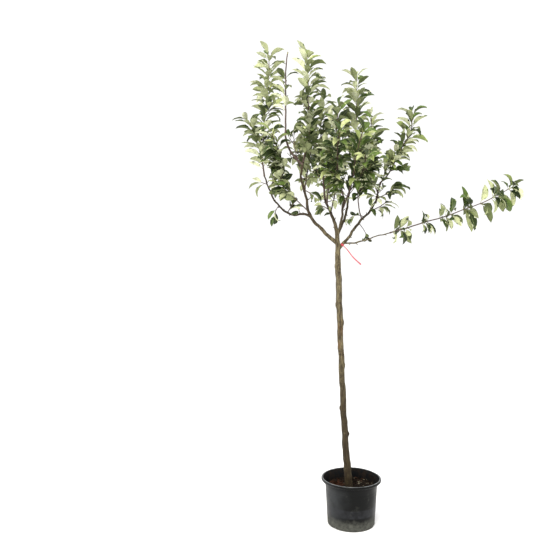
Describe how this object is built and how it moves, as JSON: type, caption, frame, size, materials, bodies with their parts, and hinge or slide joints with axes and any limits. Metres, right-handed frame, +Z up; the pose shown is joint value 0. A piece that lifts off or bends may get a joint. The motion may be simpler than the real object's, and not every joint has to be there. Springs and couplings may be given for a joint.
{
  "type": "dwarf apple tree in a pot",
  "caption": "Young dwarf apple tree on a bare straight stem, with a pruned crown of upright leafy shoots, in a round black nursery pot filled with potting mix.",
  "frame": {"origin": "centre of the flat underside of the pot", "axes": "+Z up along the stem, -Y towards the front of the tree, +X to its right as seen from the front, the side of the low branch"},
  "size_m": [1.1242, 0.6604, 1.9727],
  "materials": {
    "pot_plastic": "satin black moulded plastic",
    "potting_mix": "dark crumbly bark and peat",
    "bark": "thin grey-brown bark",
    "foliage": "semi-matt green leaves on reddish-brown twigs",
    "strap_plastic": "thin red plastic strip"
  },
  "bodies": {
    "root": {"pot": "pot_plastic", "potting_mix": "potting_mix", "trunk": "bark", "left_bough": "bark", "low_left_bough": "bark", "mid_left_bough": "bark", "mid_right_front_bough": "bark", "mid_right_back_bough": "bark", "right_bough": "bark", "low_right_bough": "bark", "red_strap": "strap_plastic", "inner_left_leader": "foliage", "bare_leader": "foliage", "outer_left_leader": "foliage", "centre_left_leader": "foliage", "centre_leader": "foliage", "back_right_leader": "foliage", "outer_right_leader": "foliage", "inner_right_shoot": "foliage", "low_right_shoot": "foliage", "left_front_shoot": "foliage", "front_left_shoot": "foliage", "front_right_shoot": "foliage", "right_front_shoot": "foliage", "back_left_shoot": "foliage", "back_centre_shoot": "foliage", "back_right_shoot": "foliage", "left_side_shoot": "foliage", "low_left_spur": "foliage", "low_left_hanging_spur": "foliage", "left_inner_spur": "foliage", "mid_left_spur": "foliage", "right_side_spur": "foliage", "right_low_spur": "foliage"}
  },
  "joints": []
}
